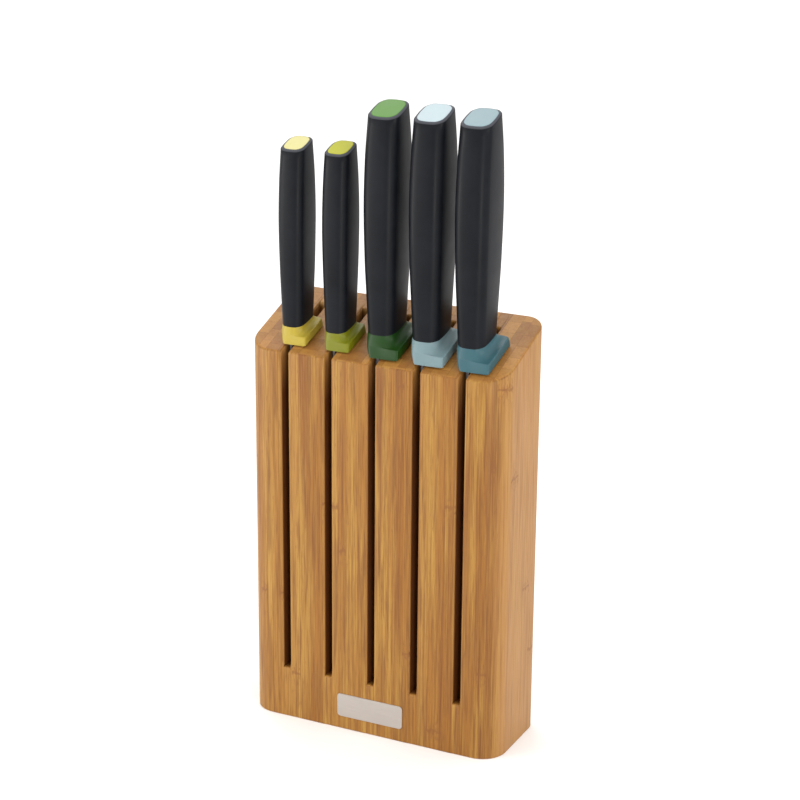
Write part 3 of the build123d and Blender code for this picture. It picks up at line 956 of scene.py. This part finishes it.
# name: place, width, height and power. All face the middle of the object.
LIGHTS = {
    "left_box": ((-1.45, -1.30, 0.65), 1.2, 1.1, 10.0),
    "right_box": ((1.65, -0.40, 1.15), 0.8, 0.8, 11.0),
    "back_box": ((-0.83, 0.98, 1.85), 0.85, 0.85, 8.0),
    "low_left": ((-0.86, -0.68, 0.20), 0.50, 0.38, 3.6),
    "low_right": ((0.64, -0.78, 0.18), 0.10, 0.32, 2.2),
}
LIGHT_TARGET = Vector((0.0, 0.0, 0.2))
LIGHT_COLOUR = (1.0, 0.985, 0.96)


def make_floor():
    made, tree, shader, coords = material("floor")
    cloud = noise(tree, coords, 2.0, 2.0)
    tree.links.new(ramp(tree, cloud, [(0.3, FLOOR_WARM), (0.7, FLOOR_PALE)]),
                   shader.inputs["Base Color"])
    shader.inputs["Roughness"].default_value = 0.9
    shader.inputs["Specular IOR Level"].default_value = 0.1
    half = FLOOR_SIZE / 2
    mesh = bpy.data.meshes.new("floor")
    mesh.from_pydata([(-half, -half, 0), (half, -half, 0), (half, half, 0), (-half, half, 0)],
                     [], [(0, 1, 2, 3)])
    mesh.materials.append(made)
    floor = bpy.data.objects.new("floor", mesh)
    bpy.context.scene.collection.objects.link(floor)


def make_world():
    """Even studio light, brighter overhead than at the sides."""
    world = bpy.data.worlds.new("studio")
    world.use_nodes = True
    tree = world.node_tree
    direction = add(tree, "ShaderNodeTexCoord").outputs["Generated"]
    up = add(tree, "ShaderNodeSeparateXYZ", i0=direction).outputs[2]
    tone = ramp(tree, up, [(0.0, SKY_SIDE), (0.9, SKY_TOP)])
    background = tree.nodes["Background"]
    tree.links.new(tone, background.inputs["Color"])
    background.inputs["Strength"].default_value = SKY_STRENGTH
    bpy.context.scene.world = world


def make_lights():
    for name, (place, width, height, power) in LIGHTS.items():
        data = bpy.data.lights.new(name, "AREA")
        data.shape = "RECTANGLE"
        data.size, data.size_y = width, height
        data.energy = power
        data.color = LIGHT_COLOUR
        lamp = bpy.data.objects.new(name, data)
        bpy.context.scene.collection.objects.link(lamp)
        lamp.location = place
        aim = LIGHT_TARGET - Vector(place)
        lamp.rotation_euler = aim.to_track_quat("-Z", "Y").to_euler()


def make_camera():
    az, el, roll = CAMERA_AZIMUTH, CAMERA_ELEVATION, CAMERA_ROLL
    back = Vector((math.sin(az) * math.cos(el), -math.cos(az) * math.cos(el), math.sin(el)))
    right = Vector((math.cos(az), math.sin(az), 0.0))
    up = back.cross(right)
    right, up = (right * math.cos(roll) + up * math.sin(roll),
                 up * math.cos(roll) - right * math.sin(roll))
    data = bpy.data.cameras.new("camera")
    data.sensor_width = 36.0
    data.lens = CAMERA_LENS
    camera = bpy.data.objects.new("camera", data)
    bpy.context.scene.collection.objects.link(camera)
    turn = Matrix((right, up, back)).transposed().to_4x4()
    camera.matrix_world = Matrix.Translation(CAMERA_TARGET + back * CAMERA_DISTANCE) @ turn
    bpy.context.scene.camera = camera


bpy.context.scene.view_settings.view_transform = "Standard"
make_camera()
make_world()
make_lights()
make_floor()
MATERIALS = make_materials()
make_block(MATERIALS)
make_knives(MATERIALS)
